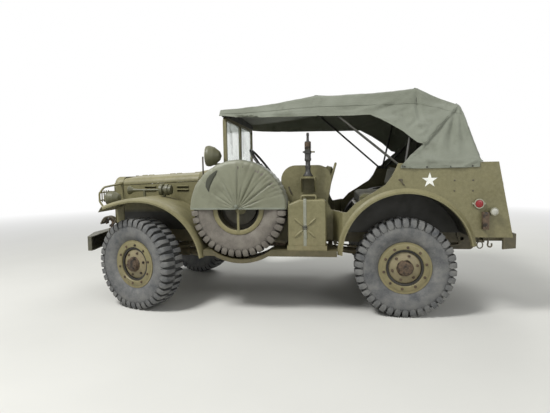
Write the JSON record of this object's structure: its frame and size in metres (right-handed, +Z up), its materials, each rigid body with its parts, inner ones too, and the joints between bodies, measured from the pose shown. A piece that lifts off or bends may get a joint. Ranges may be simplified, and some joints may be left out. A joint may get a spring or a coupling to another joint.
{
  "type": "military vehicle",
  "caption": "Open army 4x4 command car with its canvas top up, side spare wheel with half cover, jerry can, hinged hood halves and steered front wheels.",
  "frame": {"origin": "on the ground under the middle of the car's box", "axes": "+X to the car's rear, +Y to its right, +Z up"},
  "size_m": [4.239, 2.1392, 2.0699],
  "materials": {
    "olive_paint": "semi-matt olive drab paint, dusty and a little faded",
    "chassis_paint": "worn dark olive paint on the chassis",
    "canvas": "weathered olive cotton duck",
    "seat_cloth": "matt olive seat duck",
    "tyre": "dusty worn rubber",
    "wheel_paint": "semi-matt olive drab paint with greasy hubs",
    "lamp_paint": "semi-matt olive drab paint",
    "bare_steel": "rusty, oily bare metal",
    "glass": "clear flat glass",
    "wheel_plastic": "hard black moulded rim"
  },
  "bodies": {
    "car": {"frame_rails": "chassis_paint", "cross_members": "chassis_paint", "front_bumper": "chassis_paint", "rear_bumpers": "olive_paint", "tow_hook": "bare_steel", "front_axle": "chassis_paint", "rear_axle": "chassis_paint", "leaf_springs": "chassis_paint", "engine_block": "bare_steel", "driveline": "chassis_paint", "exhaust": "bare_steel", "fuel_tank": "chassis_paint", "radiator_shell": "olive_paint", "radiator_core": "chassis_paint", "front_guard": "olive_paint", "front_hooks": "bare_steel", "headlamps": "lamp_paint", "horn": "lamp_paint", "hood_sides": "olive_paint", "front_fenders": "olive_paint", "running_boards": "olive_paint", "cowl": "olive_paint", "floor_pan": "olive_paint", "controls": "olive_paint", "body_side_left": "olive_paint", "body_side_right": "olive_paint", "rear_panel": "olive_paint", "seat_frames": "olive_paint", "front_seats": "seat_cloth", "rear_seat": "seat_cloth", "windshield_frame": "olive_paint", "windshield_glass": "glass", "spotlight": "lamp_paint", "steering_column": "olive_paint", "top_bows": "olive_paint", "canvas_top": "canvas", "side_carriers": "olive_paint", "spare_wheel": "wheel_paint", "spare_tyre": "tyre", "spare_cover": "canvas", "jerry_can": "olive_paint", "aerial_base": "olive_paint", "tail_lights": "lamp_paint"},
    "knuckle_left_body": {"knuckle_left": "chassis_paint"},
    "knuckle_right_body": {"knuckle_right": "chassis_paint"},
    "tie_rod_body": {"tie_rod": "chassis_paint"},
    "front_left_wheel": {"wheel_front_left": "wheel_paint", "tyre_front_left": "tyre"},
    "front_right_wheel": {"wheel_front_right": "wheel_paint", "tyre_front_right": "tyre"},
    "rear_left_wheel": {"wheel_rear_left": "wheel_paint", "tyre_rear_left": "tyre"},
    "rear_right_wheel": {"wheel_rear_right": "wheel_paint", "tyre_rear_right": "tyre"},
    "steering_wheel_body": {"steering_wheel": "wheel_plastic"},
    "hood_left_body": {"hood_left": "olive_paint"},
    "hood_right_body": {"hood_right": "olive_paint"},
    "luggage_door_body": {"luggage_door": "olive_paint"}
  },
  "joints": [
    {"name": "steer_left", "type": "hinge", "parent": "car", "child": "knuckle_left_body", "pos_m": [-1.3795, -0.668, 0.448], "axis": [0, 0, 1], "range_deg": [-10, 50]},
    {"name": "steer_right", "type": "hinge", "parent": "car", "child": "knuckle_right_body", "pos_m": [-1.3795, 0.668, 0.448], "axis": [0, 0, 1], "range_deg": [-10, 50]},
    {"name": "tie_rod_pivot", "type": "hinge", "parent": "knuckle_left_body", "child": "tie_rod_body", "pos_m": [-1.48287, -0.63038, 0.323], "axis": [0, 0, 1], "range_deg": [-50, 10]},
    {"name": "spin_front_left", "type": "hinge", "parent": "knuckle_left_body", "child": "front_left_wheel", "pos_m": [-1.43234, -0.81318, 0.448], "axis": [0.342, 0.9397, 0], "continuous": true},
    {"name": "spin_front_right", "type": "hinge", "parent": "knuckle_right_body", "child": "front_right_wheel", "pos_m": [-1.32666, 0.81318, 0.448], "axis": [0.342, 0.9397, 0], "continuous": true},
    {"name": "spin_rear_left", "type": "hinge", "parent": "car", "child": "rear_left_wheel", "pos_m": [1.1095, -0.8225, 0.448], "axis": [0, 1, 0], "continuous": true},
    {"name": "spin_rear_right", "type": "hinge", "parent": "car", "child": "rear_right_wheel", "pos_m": [1.1095, 0.8225, 0.448], "axis": [0, 1, 0], "continuous": true},
    {"name": "steering", "type": "hinge", "parent": "car", "child": "steering_wheel_body", "pos_m": [-0.2495, -0.38, 1.391], "axis": [0.7934, 0, 0.6088], "range_deg": [-230, 1150]},
    {"name": "hood_left_hinge", "type": "hinge", "parent": "car", "child": "hood_left_body", "pos_m": [-1.7995, 0, 1.301], "axis": [-0.9992, 0, -0.0409], "range_deg": [0, 70]},
    {"name": "hood_right_hinge", "type": "hinge", "parent": "car", "child": "hood_right_body", "pos_m": [-1.7995, 0, 1.301], "axis": [0.9992, 0, 0.0409], "range_deg": [0, 70]},
    {"name": "luggage_door_hinge", "type": "hinge", "parent": "car", "child": "luggage_door_body", "pos_m": [1.99397, 0, 0.826], "axis": [0, 1, 0], "range_deg": [0, 100]}
  ],
  "couplings": [
    {"joint": "steer_right", "follows": "steer_left", "ratio": 1},
    {"joint": "tie_rod_pivot", "follows": "steer_left", "ratio": -1},
    {"joint": "steering", "follows": "steer_left", "ratio": 23}
  ]
}
